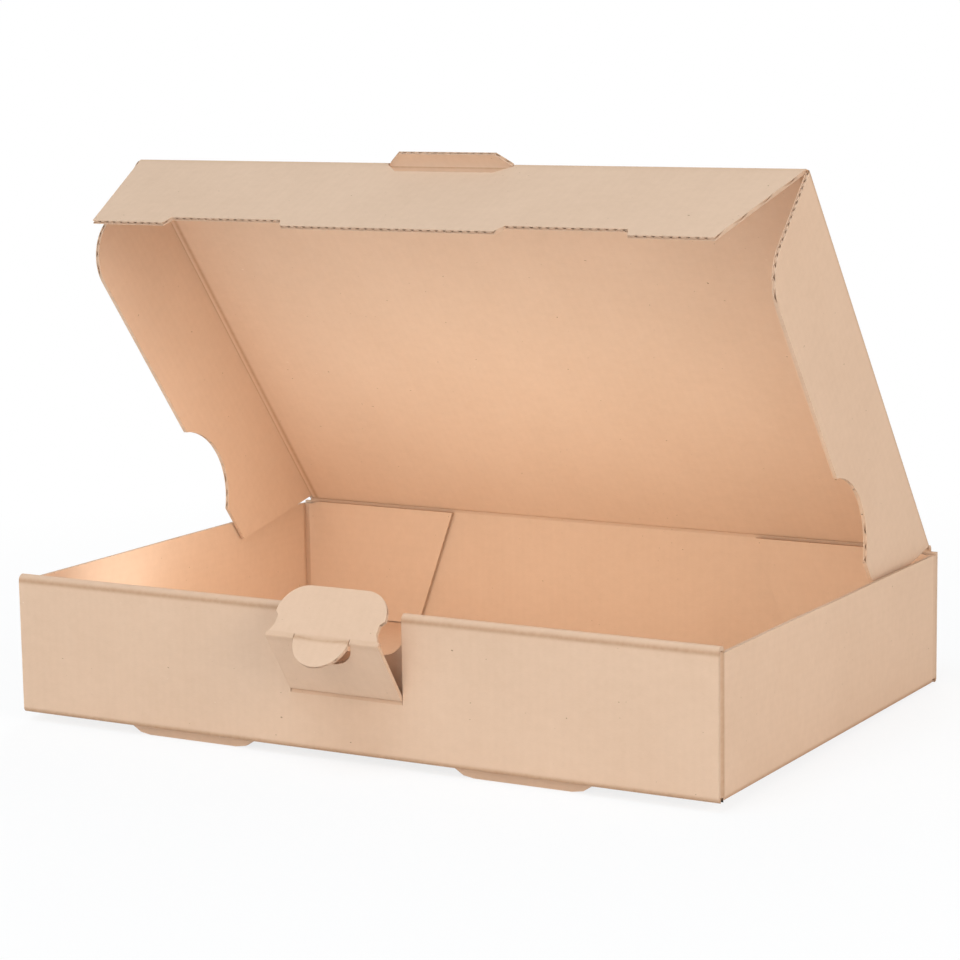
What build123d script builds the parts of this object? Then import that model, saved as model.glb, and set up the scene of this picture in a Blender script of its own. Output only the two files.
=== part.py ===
from build123d import *
from math import pi, tan, radians
import os

os.makedirs("parts", exist_ok=True)

# A flat mailer box, cut and folded from one sheet of fine-fluted corrugated board.
# Frame: millimetres, X across the box, Y from the front (-) to the back (+), Z up.
# The origin is on the underside of the bottom panel, in the middle of its outline.
# The sheet is parted only at the creases that move, into the tray, the lid and their flaps.

# Driving dimensions of the board and the inside space
board = 1.5
inside_width = 300.0
inside_depth = 200.0
wall_height = 52.6
front_height = 55.2
back_height = 55.2

# How the board folds and is cut
fold_radius = 0.9
layer_gap = 0.15
cut_gap = 0.3
bead_radius = board / 2
bead_gap = 0.08
overrun = 5.0

# Front wall: latch window and locking tabs
latch_hinge_height = 22.6
latch_half_width = 24.2
tab_centre = 72.2
tab_half_width = 29.0
tab_drop = 3.5
tab_shoulder_drop = 2.8
tab_shoulder_inset = 4.5
tab_corner_inset = 9.0

# Dust flaps on the side walls
dust_top_length = 78.0
dust_bottom_length = 59.5
dust_top_drop = 1.8
dust_top_rise = 8.0
dust_wall_gap = 0.35
dust_rest_angle = 1.5

# Lid and its flaps
lid_side_gap = 1.5
lid_front_gap = 0.5
lid_opening = 52.3
side_flap_depth = 50.0
side_flap_rear_start = 4.3
side_flap_rear_end = 26.8
side_flap_front_end = 6.1
side_flap_round = 17.0
side_notch_centre = 69.3
side_notch_half_length = 23.4
side_notch_depth = 10.8
side_notch_round = 2.0
lip_half_width = 27.4
lip_tip_half_width = 21.5
lip_length = 6.3
lip_straight = 0.9
front_flap_length = 54.0
front_flap_end_gap = 0.1
front_flap_end_inset = 12.7
front_flap_fold = 75.1
front_notch_inner = 46.2
front_notch_outer = 100.4
front_notch_slope = 2.2
front_notch_depth = 4.5

# Latch: an arm hinged on the front wall and a tip folded back from it
arm_length = 28.5
arm_lean = 34.0
tip_length = 21.5
tip_fold = 74.0
neck_half_width = 22.1
neck_start = 4.5
neck_end = 8.0
ear_start = 9.8
ear_half_width = 23.5
tip_round = 11.6
thumb_radius = 11.8
thumb_offset = 0.6

# How far each crease is pared back, as the half angle left on the side it folds to
lid_crease_angle = 45.0
front_flap_crease_angle = 36.0
dust_crease_angle = 15.0
arm_crease_angle = 34.0
tip_crease_angle = 42.0
open_side_angle = 80.0

# Places worked out from the driving dimensions
half = board / 2
half_inside_width = inside_width / 2
side_mid = half_inside_width + half
front_stack = 3 * board + 2 * layer_gap
outer_depth = inside_depth + board + front_stack
outer_half_width = half_inside_width + board
back_mid = outer_depth / 2 - half
front_mid = half - outer_depth / 2
front_dust_mid = front_mid + board + layer_gap
inner_panel_mid = front_dust_mid + board + layer_gap
roll_radius = (inner_panel_mid - front_mid) / 2
roll_height = front_height - half - roll_radius
floor_top = board + layer_gap
lid_hinge_height = back_height - half
rear_dust_axis = back_mid - board - dust_wall_gap
wall_end_half_width = outer_half_width - cut_gap
lid_half_width = half_inside_width - lid_side_gap
lid_fold = lid_half_width - half
lid_length = back_mid - (inner_panel_mid + half) - lid_front_gap - half
front_flap_half_width = lid_fold - half - front_flap_end_gap
window_half_width = latch_half_width + cut_gap
latch_length = arm_length + tip_length
cutout_floor = 2 * roll_height + pi * roll_radius - latch_hinge_height - latch_length


def folded(path, plane, start, end):
    """A board bent along a centre line in a plane, running from start to end along the plane's normal."""
    section = trace(path, board)
    return extrude(plane.offset(start) * section, end - start)


def panel(outline):
    """A flat board of the given outline, its middle on the sketch plane."""
    return extrude(outline, half, both=True)


def half_outline(points):
    """A closed outline from the points of its right half, mirrored to the left."""
    right = make_face(Polyline((0, points[0][1]), *points, (0, points[-1][1]), close=True))
    return right + mirror(right, Plane.YZ)


def paring(length, fold_angle, back_angle, hole_radius):
    """What is pared off a board's end at a crease along X, the board lying at +Y.

    The end is left as a wedge, with its half angle fold_angle on the +Z side that it folds
    to and back_angle on the other, and with a hollow round the crease line.
    """
    fold_run = board / tan(radians(fold_angle))
    back_run = board / tan(radians(back_angle))
    wedge = Polyline(
        (0, 0), (fold_run, board), (-board, board), (-board, -board), (back_run, -board), close=True
    )
    profile = make_face(wedge) + Circle(hole_radius)
    return extrude(Plane.YZ * profile, length / 2, both=True)


def crease_end(length, fold_angle, back_angle):
    """The paring of the board that turns on a crease, with a hollow that rides on the bead."""
    return paring(length, fold_angle, back_angle, bead_radius + bead_gap)


def crease_root(board_solid, frame, length, fold_angle, back_angle):
    """The board that carries a crease: its end pared the same way, with the bead on the crease line."""
    pared = mirror(paring(length + 2 * cut_gap, fold_angle, back_angle, bead_radius / 2), Plane.XZ)
    bead = Rot(Y=90) * Cylinder(bead_radius, length)
    return board_solid - frame * pared + frame * bead


# Frames of the moving pieces. In each, X runs along the crease, Y away from it and Z to the folded side.
lid_crease = Location(Plane((0, back_mid, lid_hinge_height), x_dir=(1, 0, 0), z_dir=(0, -1, 0)))
lid_frame = lid_crease * Rot(X=90 - lid_opening)
front_flap_crease = lid_frame * Pos(0, lid_length, 0)
front_flap_frame = front_flap_crease * Rot(X=front_flap_fold)
arm_crease = Location(Plane((0, front_mid, latch_hinge_height), x_dir=(1, 0, 0), z_dir=(0, -1, 0)))
arm_frame = arm_crease * Rot(X=arm_lean)
tip_crease = arm_frame * Pos(0, arm_length, 0) * Rot(Y=180)
tip_frame = tip_crease * Rot(X=tip_fold)
dust_bottom = floor_top + cut_gap
dust_crease_top = wall_height - cut_gap
dust_height = dust_crease_top - dust_bottom
dust_middle = (dust_bottom + dust_crease_top) / 2
front_dust_top = wall_height - dust_top_drop
rear_dust_top = back_height - dust_top_drop
dust_crease = Location(
    Plane((side_mid, rear_dust_axis, dust_middle), x_dir=(0, 0, 1), z_dir=(-1, 0, 0))
)
dust_frame = dust_crease * Rot(X=90 + dust_rest_angle)


def side_walls_and_bottom():
    """The bottom panel with a side wall folded up at each end, as one bent board."""
    path = FilletPolyline(
        (-side_mid, wall_height), (-side_mid, half), (side_mid, half), (side_mid, wall_height),
        radius=fold_radius,
    )
    front_end = front_dust_mid + fold_radius
    walls = folded(path, Plane.XZ, -rear_dust_axis, -front_end)
    bottom_half_width = side_mid - fold_radius
    bottom = Pos(0, 0, half) * Box(2 * bottom_half_width, 2 * (back_mid - fold_radius), board)
    return walls + bottom


def front_dust_flap():
    """The dust flap at the front of the right side wall, held between the layers of the front wall."""
    straight = front_dust_mid + fold_radius + board
    end = side_mid - dust_top_length
    path = FilletPolyline(
        (side_mid, straight), (side_mid, front_dust_mid), (end, front_dust_mid),
        radius=fold_radius,
    )
    flap = folded(path, Plane.XY, floor_top, front_dust_top)
    slant = Polyline(
        (end, front_dust_top),
        (end, floor_top),
        (side_mid - dust_bottom_length, floor_top),
        close=True,
    )
    return flap - extrude(Plane.XZ.offset(-front_dust_mid) * make_face(slant), board, both=True)


def back_wall():
    """The back wall folded up from the bottom panel, its top carrying the crease of the lid."""
    stub = back_mid - fold_radius - board
    path = FilletPolyline((back_mid, lid_hinge_height), (back_mid, half), (stub, half), radius=fold_radius)
    wall = folded(path, Plane.YZ, -wall_end_half_width, wall_end_half_width)
    return crease_root(wall, lid_crease, 2 * lid_half_width, lid_crease_angle, lid_crease_angle)


def front_wall():
    """The front wall: up from the bottom, over a half-round top and down again as the inner panel."""
    stub = front_mid + fold_radius + board
    outer = FilletPolyline((stub, half), (front_mid, half), (front_mid, roll_height), radius=fold_radius)
    roll = CenterArc(((front_mid + inner_panel_mid) / 2, roll_height), roll_radius, 0, 180)
    inner = Line((inner_panel_mid, roll_height), (inner_panel_mid, floor_top))
    wall = folded(outer + roll + inner, Plane.YZ, -wall_end_half_width, wall_end_half_width)
    wall -= Pos(0, 0, half) * Box(2 * wall_end_half_width, outer_depth - 4 * fold_radius - 2 * board, board)
    # The inner panel stands between the side walls, so it is shorter than the outer one
    inner_front = (front_mid + inner_panel_mid) / 2
    trimmed_height = 2 * (wall_height - 2 * board)
    for side in (-1, 1):
        middle = side * (half_inside_width - cut_gap + overrun)
        trimming = Box(2 * overrun, 2 * overrun, trimmed_height)
        wall -= Pos(middle, inner_front + overrun, wall_height) * trimming
    return wall


def locking_tab(gap):
    """A tab on the lower edge of the inner panel, or its slot when drawn with a gap round it."""
    width = tab_half_width + gap
    if gap:
        outline = half_outline([(width, -overrun), (width, floor_top)])
    else:
        outline = half_outline(
            [
                (width - tab_corner_inset, -tab_drop),
                (width - tab_shoulder_inset, -tab_shoulder_drop),
                (width, 0),
                (width, floor_top + board),
            ]
        )
    return extrude(Plane.XZ.offset(-inner_panel_mid) * outline, half + gap, both=True)


def latch_window():
    """What the latch leaves open in the front wall: a window down to its crease and its tip's cut-out."""
    top = front_height + overrun
    outer = Rectangle(2 * window_half_width, top - latch_hinge_height, align=(Align.CENTER, Align.MIN))
    window = extrude(
        Plane.XZ.offset(-front_mid) * Pos(0, latch_hinge_height) * outer, half + layer_gap / 2, both=True
    )
    inner = Rectangle(2 * window_half_width, top - cutout_floor, align=(Align.CENTER, Align.MIN))
    corners = inner.vertices().group_by(Axis.Y)[0]
    cutout = extrude(
        Plane.XZ.offset(-front_mid) * Pos(0, cutout_floor) * fillet(corners, tip_round),
        -(front_stack + overrun),
    )
    return window + cutout


def build_tray():
    """The tray: bottom, walls, front dust flaps and the front wall locked down by two tabs."""
    tray = side_walls_and_bottom()
    tray += back_wall()
    tray += front_wall()
    flap = front_dust_flap()
    tray += flap
    tray += mirror(flap, Plane.YZ)
    for side in (-1, 1):
        tray -= Pos(side * tab_centre, 0, 0) * locking_tab(layer_gap)
        tray += Pos(side * tab_centre, 0, 0) * locking_tab(0)
    tray -= latch_window()
    tray = crease_root(tray, arm_crease, 2 * latch_half_width, arm_crease_angle, open_side_angle)
    # The rear ends of the side walls carry the creases of the rear dust flaps
    tray = crease_root(tray, dust_crease, dust_height, dust_crease_angle, open_side_angle)
    left_crease = Location(
        Plane((-side_mid, rear_dust_axis, dust_middle), x_dir=(0, 0, -1), z_dir=(1, 0, 0))
    )
    return crease_root(tray, left_crease, dust_height, dust_crease_angle, open_side_angle)


def build_dust_flap():
    """The rear dust flap of the right side wall, standing just inside the back wall and rising with it."""
    top = rear_dust_top - dust_middle
    outline = make_face(
        Polyline(
            (-dust_height / 2, 0),
            (-dust_height / 2, dust_bottom_length),
            (top, dust_top_length),
            (top, dust_top_rise),
            (dust_height / 2, dust_top_rise / 2),
            (dust_height / 2, 0),
            close=True,
        )
    )
    flap = panel(outline) - crease_end(dust_height + overrun, dust_crease_angle, open_side_angle)
    return dust_frame * flap


def lid_side_outline():
    """The lid seen from its side: the edge of the panel and the rounded, notched outline of a side flap."""
    front = lid_length - side_flap_front_end
    notch_front = side_notch_centre + side_notch_half_length
    notch_rear = side_notch_centre - side_notch_half_length
    top = [(0, half), (0, -board), (lid_length, -board), (lid_length, board)]
    edge = Polyline(
        (notch_rear, side_flap_depth),
        (side_flap_rear_end, side_flap_depth),
        (side_flap_rear_start, half),
        *top,
        (front, side_flap_depth),
        (notch_front, side_flap_depth),
    )
    notch = ThreePointArc(
        (notch_front, side_flap_depth),
        (side_notch_centre, side_flap_depth - side_notch_depth),
        (notch_rear, side_flap_depth),
    )
    outline = make_face(edge + notch)
    lower = outline.vertices().group_by(Axis.Y)[-1].sort_by(Axis.X)
    outline = fillet(lower[1:3], side_notch_round)
    corner = outline.vertices().group_by(Axis.Y)[-1].sort_by(Axis.X)[-1]
    return fillet(corner, side_flap_round)


def lip_outline(gap):
    """The lip that stays in the lid's plane over the latch window, or with a gap the hole that it leaves."""
    return half_outline(
        [
            (lip_half_width + gap, -board),
            (lip_half_width + gap, lip_straight),
            (lip_tip_half_width + gap, lip_length + gap),
        ]
    )


def build_lid():
    """The lid panel with its two side flaps folded down and the lip that reaches over the front wall."""
    path = FilletPolyline(
        (-lid_fold, side_flap_depth), (-lid_fold, 0), (lid_fold, 0), (lid_fold, side_flap_depth),
        radius=fold_radius,
    )
    lid = folded(path, Plane.XZ, -lid_length, 0)
    lid &= extrude(Plane.YZ * lid_side_outline(), lid_half_width + overrun, both=True)
    lid -= crease_end(2 * (lid_half_width + overrun), lid_crease_angle, lid_crease_angle)
    # Each half of the front edge carries the crease of the front flap, either side of the lip
    crease_start = lip_half_width + cut_gap
    crease_length = front_flap_half_width - crease_start
    for side in (-1, 1):
        frame = Pos(side * (crease_start + crease_length / 2), lid_length, 0)
        lid = crease_root(lid, frame, crease_length, front_flap_crease_angle, open_side_angle)
    lid += Pos(0, lid_length, 0) * panel(lip_outline(0))
    return lid_frame * lid


def build_front_flap():
    """The front flap of the lid: tapered ends, two shallow notches in its free edge and the lip's hole."""
    outline = half_outline(
        [
            (front_flap_half_width, 0),
            (front_flap_half_width - front_flap_end_inset, front_flap_length),
            (front_notch_outer, front_flap_length),
            (front_notch_outer - front_notch_slope, front_flap_length - front_notch_depth),
            (front_notch_inner + front_notch_slope, front_flap_length - front_notch_depth),
            (front_notch_inner, front_flap_length),
        ]
    )
    flap = panel(outline - lip_outline(cut_gap))
    flap -= crease_end(2 * lid_half_width, front_flap_crease_angle, open_side_angle)
    return front_flap_frame * flap


def thumb_outline(gap):
    """The half-round thumb tongue that is cut out of the arm, or its opening when drawn with a gap."""
    circle = Pos(0, thumb_offset) * Circle(thumb_radius + gap)
    below = Pos(0, -thumb_radius) * Rectangle(4 * thumb_radius, 2 * thumb_radius)
    return circle & below


def build_latch_arm():
    """The latch's arm: a board as wide as the window, open for the thumb tongue at its outer crease."""
    outline = Rectangle(2 * latch_half_width, arm_length, align=(Align.CENTER, Align.MIN))
    arm = panel(outline)
    arm -= crease_end(2 * window_half_width, arm_crease_angle, open_side_angle)
    # The outer crease lies in two stretches, either side of the tongue
    start = thumb_radius + cut_gap
    length = latch_half_width - start
    outer_crease = Pos(0, arm_length, 0) * Rot(Y=180)
    for side in (-1, 1):
        frame = outer_crease * Pos(side * (start + length / 2), 0, 0)
        arm = crease_root(arm, frame, length, tip_crease_angle, open_side_angle)
    opening = extrude(Pos(0, arm_length) * thumb_outline(cut_gap), board, both=True)
    return arm_frame * (arm - opening)


def build_latch_tip():
    """The latch's tip: necked and eared to hold behind the lid's front flap, with the thumb tongue below."""
    tip = half_outline(
        [
            (latch_half_width, 0),
            (neck_half_width, neck_start),
            (neck_half_width, neck_end),
            (ear_half_width, ear_start),
            (ear_half_width, tip_length),
        ]
    )
    tip = fillet(tip.vertices().group_by(Axis.Y)[-1], tip_round)
    start = thumb_radius + cut_gap / 2
    length = latch_half_width - start
    blank = panel(tip)
    end = crease_end(length, tip_crease_angle, open_side_angle)
    for side in (-1, 1):
        blank -= Pos(side * (start + length / 2), 0, 0) * end
    return tip_frame * (blank + panel(thumb_outline(0)))


dust_flap = build_dust_flap()

pieces = {
    "tray": build_tray(),
    "lid": build_lid(),
    "lid_front_flap": build_front_flap(),
    "latch_arm": build_latch_arm(),
    "latch_tip": build_latch_tip(),
    "dust_flap_right": dust_flap,
    "dust_flap_left": mirror(dust_flap, Plane.YZ),
}

for name, piece in pieces.items():
    export_step(piece, f"parts/{name}.step")
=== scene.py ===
import math

import bpy
import numpy as np
from mathutils import Matrix, Vector


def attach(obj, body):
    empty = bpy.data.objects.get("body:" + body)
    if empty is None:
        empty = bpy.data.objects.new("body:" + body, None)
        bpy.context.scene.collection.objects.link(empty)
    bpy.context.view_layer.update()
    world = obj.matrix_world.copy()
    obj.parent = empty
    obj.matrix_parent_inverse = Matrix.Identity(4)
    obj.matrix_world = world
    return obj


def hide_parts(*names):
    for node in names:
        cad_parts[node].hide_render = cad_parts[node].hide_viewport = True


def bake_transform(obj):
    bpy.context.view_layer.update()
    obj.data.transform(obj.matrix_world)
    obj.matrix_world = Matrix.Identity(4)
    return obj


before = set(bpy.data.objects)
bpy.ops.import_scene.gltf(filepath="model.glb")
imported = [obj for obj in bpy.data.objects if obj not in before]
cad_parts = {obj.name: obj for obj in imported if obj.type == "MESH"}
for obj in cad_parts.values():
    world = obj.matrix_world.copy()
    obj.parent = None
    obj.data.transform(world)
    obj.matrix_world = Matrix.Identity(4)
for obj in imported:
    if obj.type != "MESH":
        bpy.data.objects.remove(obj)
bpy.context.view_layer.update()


# The kraft paper
# Both faces of the board are unbleached kraft paper: brown fibres laid mostly across the flutes, a little
# uneven in tone, with odd dark and pale specks in it. The flutes underneath show through as faint ridges.
MM = 0.001
FLUTE_PITCH = 3.4
PAPER_DARK = (0.640, 0.440, 0.303)
PAPER_LIGHT = (0.770, 0.552, 0.400)
SPECK_DARK = (0.200, 0.105, 0.055)
SPECK_PALE = (0.880, 0.740, 0.620)
# The colour of the painted shade in the creases
CREASE_SHADE_COLOUR = (0.480, 0.285, 0.170)
CORE_DARK = (0.500, 0.335, 0.225)
CORE_LIGHT = (0.770, 0.560, 0.410)
PAPER_ROUGHNESS = 0.86
PAPER_SHINE = 0.22
# How often a pattern changes in a metre, across the flutes and along them
PATCHES = (26, 20, 1)
MOTTLE = (190, 260, 1)
FIBRES = (700, 2300, 1)
WANDER = (30, 9, 1)
DARK_SPECKS = (430, 700, 1)
PALE_SPECKS = (330, 520, 1)
WRINKLES = (500, 500, 1)
MIRRORED = (1, -1, 1)
NOISE_ROUGHNESS = 0.6
# How much each pattern counts in the paper's tone, and where the noise is high enough for a speck
PATCH_SHARE = 0.55
MOTTLE_SHARE = 0.45
FIBRE_SHARE = 0.25
RIDGE_SHARE = 0.02
TONE_DROP = 0.12
RIDGE_WANDER = 1.2
DARK_SPECK_LEVELS = (0.772, 0.82)
PALE_SPECK_LEVELS = (0.79, 0.84)
DARK_SPECK_SHARE = 0.7
PALE_SPECK_SHARE = 0.6
# Painted crease shade: how much the creases darken evenly, and how much more where the wrinkle noise is high
CREASE_SHADE_SHARE = 0.5
CREASE_SHADE_WRINKLE_SHARE = 0.6
# How high the bumps of each pattern stand
FACE_RIDGE = 0.005 * MM
FACE_FIBRE = 0.007 * MM
CORE_FIBRE = 0.04 * MM
WRINKLE_HEIGHT = 0.08 * MM


class Paint:
    """A socket of a material, so that sums on it are written as Python and become Math nodes."""

    def __init__(self, tree, socket=None):
        self.tree = tree
        self.socket = socket

    def node(self, kind, settings, sockets, output=0):
        """Adds a node of that type with its settings, feeds its sockets, and gives the output asked for."""
        made = self.tree.nodes.new(kind)
        for name, value in settings.items():
            setattr(made, name, value)
        for name, value in sockets.items():
            if isinstance(value, Paint):
                self.tree.links.new(value.socket, made.inputs[name])
            else:
                made.inputs[name].default_value = value
        return Paint(self.tree, made.outputs[output])

    def maths(self, operation, *others):
        """This value and the others through one Math node."""
        return self.node("ShaderNodeMath", {"operation": operation}, dict(enumerate((self, *others))))

    def __add__(self, other):
        return self.maths("ADD", other)

    def __radd__(self, other):
        return self.maths("ADD", other)

    def __sub__(self, other):
        return self.maths("SUBTRACT", other)

    def __rsub__(self, other):
        return (self * -1) + other

    def __mul__(self, other):
        return self.maths("MULTIPLY", other)

    def __rmul__(self, other):
        return self.maths("MULTIPLY", other)

    def between(self, low, high):
        """Nought below low, one above high, and an even rise from the one to the other."""
        sockets = {"Value": self, "From Min": low, "From Max": high}
        return self.node("ShaderNodeMapRange", {"clamp": True}, sockets)

    def stretched(self, scale):
        """A vector times another, part by part."""
        return self.node("ShaderNodeVectorMath", {"operation": "MULTIPLY"}, {0: self, 1: scale})

    def cloud(self, scale, detail):
        """Noise that reads this vector, its value about a half."""
        vector = self.stretched(scale)
        sockets = {"Vector": vector, "Scale": 1.0, "Detail": detail, "Roughness": NOISE_ROUGHNESS}
        return self.node("ShaderNodeTexNoise", {}, sockets)

    def toward(self, share, colour):
        """This colour mixed toward another by a share."""
        sockets = {0: share, 6: self, 7: colour}
        return self.node("ShaderNodeMix", {"data_type": "RGBA"}, sockets, 2)


def paper(name, dark, light, ridge_height, fibre_height):
    """A material of unbleached paper, which reads the places in the flat sheet, in metres, as a UV map."""
    material = bpy.data.materials.new(name)
    material.use_nodes = True
    tree = material.node_tree
    shader = tree.nodes["Principled BSDF"]
    start = Paint(tree)
    place = start.node("ShaderNodeUVMap", {"uv_map": "sheet"}, {})
    across = start.node("ShaderNodeSeparateXYZ", {}, {0: place})
    fold = start.node("ShaderNodeAttribute", {"attribute_name": "fold"}, {}, 2)
    # Cloudy tone, fibres that lie across the flutes, and the flutes' own ridges
    patches = place.cloud(PATCHES, 4.0)
    mottle = place.cloud(MOTTLE, 3.0)
    fibres = place.cloud(FIBRES, 2.0)
    wander = place.cloud(WANDER, 1.0)
    ridges = (across * (2 * math.pi / (FLUTE_PITCH * MM)) + wander * RIDGE_WANDER).maths("SINE")
    tone = patches * PATCH_SHARE + mottle * MOTTLE_SHARE + fibres * FIBRE_SHARE + ridges * RIDGE_SHARE
    sockets = {0: (tone - TONE_DROP).between(0.0, 1.0), 6: (*dark, 1), 7: (*light, 1)}
    colour = start.node("ShaderNodeMix", {"data_type": "RGBA"}, sockets, 2)
    dark_specks = place.cloud(DARK_SPECKS, 1.0).between(*DARK_SPECK_LEVELS)
    pale_specks = place.stretched(MIRRORED).cloud(PALE_SPECKS, 1.0).between(*PALE_SPECK_LEVELS)
    colour = colour.toward(dark_specks * DARK_SPECK_SHARE, (*SPECK_DARK, 1))
    colour = colour.toward(pale_specks * PALE_SPECK_SHARE, (*SPECK_PALE, 1))
    # The creases get painted shade, mottled by the wrinkle noise, and are wrinkled
    wrinkles = place.cloud(WRINKLES, 3.0)
    crease_shade = fold * fold * (wrinkles * CREASE_SHADE_WRINKLE_SHARE + CREASE_SHADE_SHARE)
    colour = colour.toward(crease_shade, (*CREASE_SHADE_COLOUR, 1))
    tree.links.new(colour.socket, shader.inputs["Base Color"])
    height = fibres * fibre_height + ridges * ridge_height + fold * wrinkles * WRINKLE_HEIGHT
    bump = start.node("ShaderNodeBump", {}, {"Height": height, "Strength": 1.0, "Distance": 1.0})
    tree.links.new(bump.socket, shader.inputs["Normal"])
    shader.inputs["Roughness"].default_value = PAPER_ROUGHNESS
    shader.inputs["Specular IOR Level"].default_value = PAPER_SHINE
    return material


face_paper = paper("kraft_face", PAPER_DARK, PAPER_LIGHT, FACE_RIDGE, FACE_FIBRE)
core_paper = paper("kraft_core", CORE_DARK, CORE_LIGHT, 0.0, CORE_FIBRE)


# The board
# Two faces of paper with a waved one glued between them, 1.5 mm thick in all. A sheet is worked out flat,
# with x across the flutes and y along them, and then folded. A cut across the flutes leaves them open.
BOARD = 1.5
HALF = BOARD / 2
LINER = 0.28
WAVE_PAPER = 0.1
WAVE_HEIGHT = HALF - LINER - WAVE_PAPER
FLUTE_DEPTH = 3.0
CRUSHED_SHARE = 0.12
CUTS_PER_FLUTE = 12
# A cut that goes less than this share of its length across the flutes counts as along them
PARALLEL_SHARE = 0.2


def cell_edges(kept, x, y):
    """Both ends, flat, of each edge between a kept cell and an empty one, with the board on its left."""
    room = np.pad(kept, 1)
    corner = np.stack([x, y], -1)
    ends = []
    for axis in (0, 1):
        here = room[1:, 1:-1] if axis == 0 else room[1:-1, 1:]
        before = room[:-1, 1:-1] if axis == 0 else room[1:-1, :-1]
        low = corner[:, :-1] if axis == 0 else corner[:-1]
        high = corner[:, 1:] if axis == 0 else corner[1:]
        up, down = before & ~here, here & ~before
        if axis == 1:
            up, down = down, up
        ends += [(low[up], high[up]), (high[down], low[down])]
    return (np.concatenate(part) for part in zip(*ends))


def wave(x):
    """How high the waved paper's middle lies at x. With c the cosine of x over the pitch, it is the wave's
    height times 1 - 2 ((1 - c) / 2)^2, so its crests are wide and its troughs narrow."""
    return WAVE_HEIGHT * (1 - 2 * ((1 - np.cos(2 * np.pi * x / FLUTE_PITCH)) / 2) ** 2)


def open_flutes(p, q):
    """The quads of a cut across the flutes, from points p to q: both faces' thickness and the wave between
    them. The hollows over the wave run inward along the flutes, and those under it are crushed shut."""
    count = max(math.ceil(np.abs(q - p)[:, 0].max() * CUTS_PER_FLUTE / FLUTE_PITCH), 1)
    share = np.linspace(0, 1, count + 1)[None, :, None]
    points = p[:, None] * (1 - share) + q[:, None] * share
    a, b = points[:, :-1].reshape(-1, 2), points[:, 1:].reshape(-1, 2)
    inward = np.zeros_like(a)
    inward[:, 1] = np.sign(b[:, 0] - a[:, 0]) * FLUTE_DEPTH
    crushed = inward * CRUSHED_SHARE

    def quad(*corners):
        return np.stack([np.column_stack([at, z]) for at, z in corners], 1)

    def upright(shift, low_a, low_b, high_a, high_b):
        return quad((a + shift, low_a), (b + shift, low_b), (b + shift, high_b), (a + shift, high_a))

    def shelf(z_a, z_b, shift, up):
        corners = [(a, z_a), (b, z_b), (b + shift, z_b), (a + shift, z_a)]
        return quad(*(corners if up else corners[::-1]))

    outside = np.full(len(a), HALF)
    inside = np.full(len(a), HALF - LINER)
    under_a, under_b = (wave(end[:, 0]) - WAVE_PAPER for end in (a, b))
    over_a, over_b = (wave(end[:, 0]) + WAVE_PAPER for end in (a, b))
    return np.concatenate(
        [
            upright(0, -outside, -outside, -inside, -inside),
            upright(0, under_a, under_b, over_a, over_b),
            upright(0, inside, inside, outside, outside),
            shelf(-inside, -inside, crushed, True),
            shelf(under_a, under_b, crushed, False),
            shelf(over_a, over_b, inward, True),
            shelf(inside, inside, inward, False),
            upright(crushed, -inside, -inside, under_a, under_b),
            upright(inward, over_a, over_b, inside, inside),
        ]
    )


def closed_cut(p, q):
    """The quads of a cut along the flutes, where the faces are pressed together."""
    low, high = np.full(len(p), -HALF), np.full(len(p), HALF)
    return np.stack([np.column_stack(c) for c in ((p, low), (q, low), (q, high), (p, high))], 1)


def cut_quads(kept, x, y, joined, hidden):
    """The quads of a panel's cut edges, open where they cross the flutes and closed where they run along them
    or are never seen. An edge that goes on in another panel has none."""
    p, q = cell_edges(kept, x, y)
    if joined:
        cut = ~joined(*((p + q) / 2).T)
        p, q = p[cut], q[cut]
    crossing = np.abs(q - p)[:, 0] > PARALLEL_SHARE * np.linalg.norm(q - p, axis=1)
    if hidden:
        crossing &= ~hidden(*((p + q) / 2).T)
    quads = [closed_cut(p[~crossing], q[~crossing])]
    if crossing.any():
        quads.append(open_flutes(p[crossing], q[crossing]))
    return np.concatenate(quads)


def board(across, along, fold, outline=None, keep=None, joined=None, creased=None, hidden=None):
    """One panel as arrays. The grid of across and along goes through outline, which gives the flat x and y.
    keep says which cells are board, joined which edges go on in another panel, hidden which cuts are never
    seen, and creased how near a point is to a crease. fold takes flat x, y and height to the folded box."""
    x, y = np.meshgrid(across, along, indexing="ij")
    if outline:
        x, y = outline(x, y)
    middle_x = (x[:-1, :-1] + x[1:, 1:]) / 2
    middle_y = (y[:-1, :-1] + y[1:, 1:]) / 2
    kept = keep(middle_x, middle_y) if keep else np.ones_like(middle_x, bool)
    number = np.arange(x.size).reshape(x.shape)
    outer = np.stack([number[:-1, :-1], number[1:, :-1], number[1:, 1:], number[:-1, 1:]], -1)[kept]
    inner = outer[:, ::-1] + x.size
    flat = np.column_stack([np.tile(x.ravel(), 2), np.tile(y.ravel(), 2), np.repeat([HALF, -HALF], x.size)])
    # The cuts have points of their own, after those of both faces
    cuts = cut_quads(kept, x, y, joined, hidden)
    points = np.concatenate([flat, cuts.reshape(-1, 3)])
    quads = np.concatenate([outer, inner, len(flat) + np.arange(cuts.shape[0] * 4).reshape(-1, 4)])
    core = np.arange(len(quads)) >= len(outer) + len(inner)
    near = creased(points[:, 0], points[:, 1]) if creased else np.zeros(len(points))
    place = np.stack(fold(points[:, 0], points[:, 1], points[:, 2]), -1)
    # A fold that mirrors the sheet turns every quad round
    u, v = place[quads[0, 1]] - place[quads[0, 0]], place[quads[0, 3]] - place[quads[0, 0]]
    above = place[quads[0, 0]] - place[quads[0, 0] + x.size]
    if np.dot(np.cross(u, v), above) < 0:
        quads = quads[:, ::-1]
    return place, quads, points[:, :2], near, core


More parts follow.
